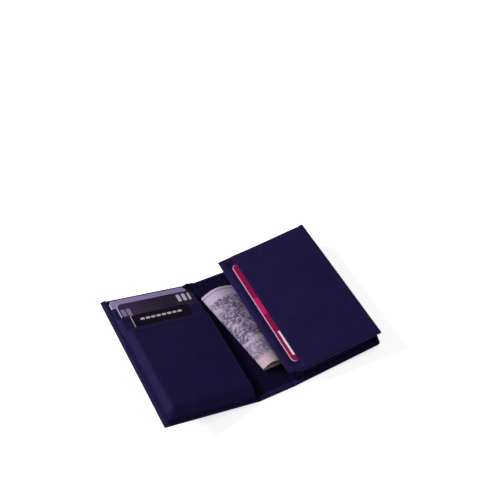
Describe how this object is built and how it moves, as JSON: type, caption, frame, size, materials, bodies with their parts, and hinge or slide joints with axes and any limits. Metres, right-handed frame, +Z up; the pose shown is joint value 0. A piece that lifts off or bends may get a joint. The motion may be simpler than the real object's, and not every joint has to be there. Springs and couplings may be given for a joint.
{
  "type": "trifold wallet",
  "caption": "Trifold fabric wallet lying half open: stepped card pockets, a wide spine, a bill pocket holding a folded banknote, and a folded-back flap with a slit for a card.",
  "frame": {"origin": "middle of the footprint, on the surface that the wallet lies on", "axes": "+X across the open wallet from the card panel to the flap, +Y along the spine to the open ends of the card pockets, +Z up"},
  "size_m": [0.1486, 0.1028, 0.0194],
  "materials": {
    "navy_canvas": "matt woven canvas with a fine rib",
    "navy_lining": "matt woven lining, a little darker than the outside",
    "stiffener_board": "plain grey stiffener, sewn in and never seen",
    "card_lilac": "semi-gloss printed plastic card",
    "card_dark_grey": "semi-gloss printed plastic card",
    "tag_black": "matt black card",
    "card_red": "semi-gloss crimson plastic card",
    "note_paper": "soft printed banknote paper"
  },
  "bodies": {
    "spine": {"spine_shell": "navy_canvas", "spine_interlining": "stiffener_board", "spine_lining": "navy_lining"},
    "card_panel": {"card_panel_shell": "navy_canvas", "card_panel_board": "stiffener_board", "card_panel_lining": "navy_lining", "pocket_rear": "navy_canvas", "pocket_middle": "navy_canvas", "pocket_front": "navy_canvas"},
    "bill_panel": {"bill_panel_shell": "navy_canvas", "bill_panel_board": "stiffener_board", "bill_panel_lining": "navy_lining", "bill_pocket": "navy_lining", "banknote": "note_paper"},
    "inner_spine": {"inner_spine_shell": "navy_canvas", "inner_spine_lining": "navy_lining"},
    "flap": {"flap_shell": "navy_canvas", "flap_facing": "navy_canvas", "flap_lining": "navy_lining"},
    "lilac_card": {"lilac_card": "card_lilac"},
    "grey_card": {"grey_card": "card_dark_grey"},
    "black_tag": {"black_tag": "tag_black"},
    "red_card": {"red_card": "card_red"}
  },
  "joints": [
    {"name": "card_panel_fold", "type": "hinge", "parent": "spine", "child": "card_panel", "pos_m": [-0.01236, 0, 0.0012], "axis": [0, 1, 0], "range_deg": [-14.7, 75.3], "deforming": ["banknote"]},
    {"name": "bill_panel_fold", "type": "hinge", "parent": "spine", "child": "bill_panel", "pos_m": [0.01134, 0, 0.0012], "axis": [0, -1, 0], "range_deg": [-5.8, 66], "deforming": ["banknote"]},
    {"name": "inner_spine_fold", "type": "hinge", "parent": "bill_panel", "child": "inner_spine", "pos_m": [0.07123, 0, 0.00728], "axis": [0, -1, 0], "range_deg": [-66, 0]},
    {"name": "flap_fold", "type": "hinge", "parent": "inner_spine", "child": "flap", "pos_m": [0.07328, 0, 0.01353], "axis": [0, -1, 0], "range_deg": [-112.4, 0]},
    {"name": "lilac_card_slide", "type": "slide", "parent": "card_panel", "child": "lilac_card", "axis": [0, 1, 0], "range_m": [0, 0.06]},
    {"name": "grey_card_slide", "type": "slide", "parent": "card_panel", "child": "grey_card", "axis": [0, 1, 0], "range_m": [0, 0.06]},
    {"name": "black_tag_slide", "type": "slide", "parent": "card_panel", "child": "black_tag", "axis": [0, 1, 0], "range_m": [0, 0.05]},
    {"name": "red_card_slide", "type": "slide", "parent": "flap", "child": "red_card", "axis": [0.9973, 0, 0.0732], "range_m": [-0.0095, 0]}
  ]
}
